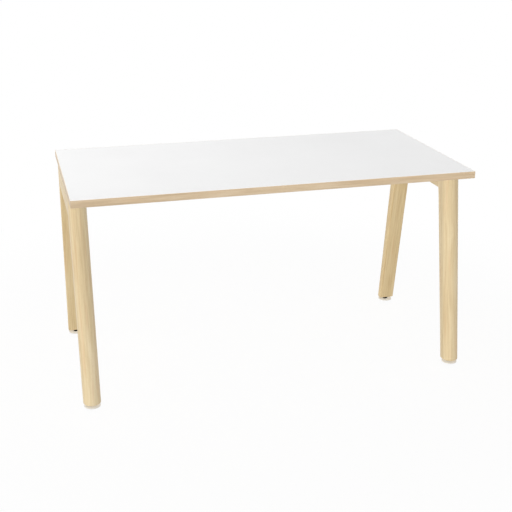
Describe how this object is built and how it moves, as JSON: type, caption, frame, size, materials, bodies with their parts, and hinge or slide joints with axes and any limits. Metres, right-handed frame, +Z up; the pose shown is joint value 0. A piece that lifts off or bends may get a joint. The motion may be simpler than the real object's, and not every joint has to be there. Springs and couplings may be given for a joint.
{
  "type": "communion table",
  "caption": "Plain rectangular table: white laminate top with a wooden edge band, splayed tapered wooden legs of D-shaped section, flush end rails and levelling feet.",
  "frame": {"origin": "on the floor under the middle of the table top", "axes": "+X along the table's length, +Y from its front to its rear, +Z up"},
  "size_m": [1.4, 0.7, 0.745],
  "materials": {
    "white_laminate": "satin white laminate",
    "backing_laminate": "matt light grey laminate",
    "core_board": "raw particle board",
    "edge_wood": "satin wood-grained edge band",
    "leg_wood": "satin lacquered pale wood",
    "tenon_wood": "raw beech",
    "painted_steel": "light powder coat",
    "zinc_steel": "zinc plated",
    "insert_steel": "yellow zinc plated",
    "pad_plastic": "moulded pale plastic",
    "black_steel": "blackened steel"
  },
  "bodies": {
    "table": {"top_laminate": "white_laminate", "backing_laminate": "backing_laminate", "top_core": "core_board", "edge_band_front": "edge_wood", "edge_band_rear": "edge_wood", "edge_band_left": "edge_wood", "edge_band_right": "edge_wood", "leg_front_left": "leg_wood", "leg_front_right": "leg_wood", "leg_rear_left": "leg_wood", "leg_rear_right": "leg_wood", "end_rail_left": "leg_wood", "end_rail_right": "leg_wood", "tenon_front_left": "tenon_wood", "tenon_front_right": "tenon_wood", "tenon_rear_left": "tenon_wood", "tenon_rear_right": "tenon_wood", "beam_front": "painted_steel", "beam_rear": "painted_steel", "top_bolt_front_left": "zinc_steel", "top_bolt_front_right": "zinc_steel", "top_bolt_rear_left": "zinc_steel", "top_bolt_rear_right": "zinc_steel", "beam_screw_front_left": "zinc_steel", "beam_screw_front_right": "zinc_steel", "beam_screw_rear_left": "zinc_steel", "beam_screw_rear_right": "zinc_steel", "beam_bolt_front_left_outer": "zinc_steel", "beam_bolt_front_left_inner": "zinc_steel", "beam_bolt_front_right_outer": "zinc_steel", "beam_bolt_front_right_inner": "zinc_steel", "beam_bolt_rear_left_outer": "zinc_steel", "beam_bolt_rear_left_inner": "zinc_steel", "beam_bolt_rear_right_outer": "zinc_steel", "beam_bolt_rear_right_inner": "zinc_steel", "top_insert_front_left": "insert_steel", "top_insert_front_right": "insert_steel", "top_insert_rear_left": "insert_steel", "top_insert_rear_right": "insert_steel", "foot_insert_front_left": "insert_steel", "foot_insert_front_right": "insert_steel", "foot_insert_rear_left": "insert_steel", "foot_insert_rear_right": "insert_steel", "rail_insert_front_left_outer": "insert_steel", "rail_insert_front_left_inner": "insert_steel", "rail_insert_front_right_outer": "insert_steel", "rail_insert_front_right_inner": "insert_steel", "rail_insert_rear_left_outer": "insert_steel", "rail_insert_rear_left_inner": "insert_steel", "rail_insert_rear_right_outer": "insert_steel", "rail_insert_rear_right_inner": "insert_steel"},
    "pad_front_left": {"foot_pad_front_left": "pad_plastic"},
    "stud_front_left": {"foot_stud_front_left": "black_steel"},
    "pad_front_right": {"foot_pad_front_right": "pad_plastic"},
    "stud_front_right": {"foot_stud_front_right": "black_steel"},
    "pad_rear_left": {"foot_pad_rear_left": "pad_plastic"},
    "stud_rear_left": {"foot_stud_rear_left": "black_steel"},
    "pad_rear_right": {"foot_pad_rear_right": "pad_plastic"},
    "stud_rear_right": {"foot_stud_rear_right": "black_steel"}
  },
  "joints": [
    {"name": "foot_travel_front_left", "type": "slide", "parent": "table", "child": "pad_front_left", "axis": [0, 0, -1], "range_m": [0, 0.015]},
    {"name": "stud_turn_front_left", "type": "hinge", "parent": "pad_front_left", "child": "stud_front_left", "pos_m": [-0.67, -0.319, 0.009], "axis": [0, 0, -1], "range_deg": [-10, 4330]},
    {"name": "foot_travel_front_right", "type": "slide", "parent": "table", "child": "pad_front_right", "axis": [0, 0, -1], "range_m": [0, 0.015]},
    {"name": "stud_turn_front_right", "type": "hinge", "parent": "pad_front_right", "child": "stud_front_right", "pos_m": [0.67, -0.319, 0.009], "axis": [0, 0, -1], "range_deg": [-10, 4330]},
    {"name": "foot_travel_rear_left", "type": "slide", "parent": "table", "child": "pad_rear_left", "axis": [0, 0, -1], "range_m": [0, 0.015]},
    {"name": "stud_turn_rear_left", "type": "hinge", "parent": "pad_rear_left", "child": "stud_rear_left", "pos_m": [-0.67, 0.319, 0.009], "axis": [0, 0, -1], "range_deg": [-10, 4330]},
    {"name": "foot_travel_rear_right", "type": "slide", "parent": "table", "child": "pad_rear_right", "axis": [0, 0, -1], "range_m": [0, 0.015]},
    {"name": "stud_turn_rear_right", "type": "hinge", "parent": "pad_rear_right", "child": "stud_rear_right", "pos_m": [0.67, 0.319, 0.009], "axis": [0, 0, -1], "range_deg": [-10, 4330]}
  ],
  "couplings": [
    {"joint": "stud_turn_front_left", "follows": "foot_travel_front_left", "rad_per_m": 5026.5},
    {"joint": "stud_turn_front_right", "follows": "foot_travel_front_right", "rad_per_m": 5026.5},
    {"joint": "stud_turn_rear_left", "follows": "foot_travel_rear_left", "rad_per_m": 5026.5},
    {"joint": "stud_turn_rear_right", "follows": "foot_travel_rear_right", "rad_per_m": 5026.5}
  ]
}
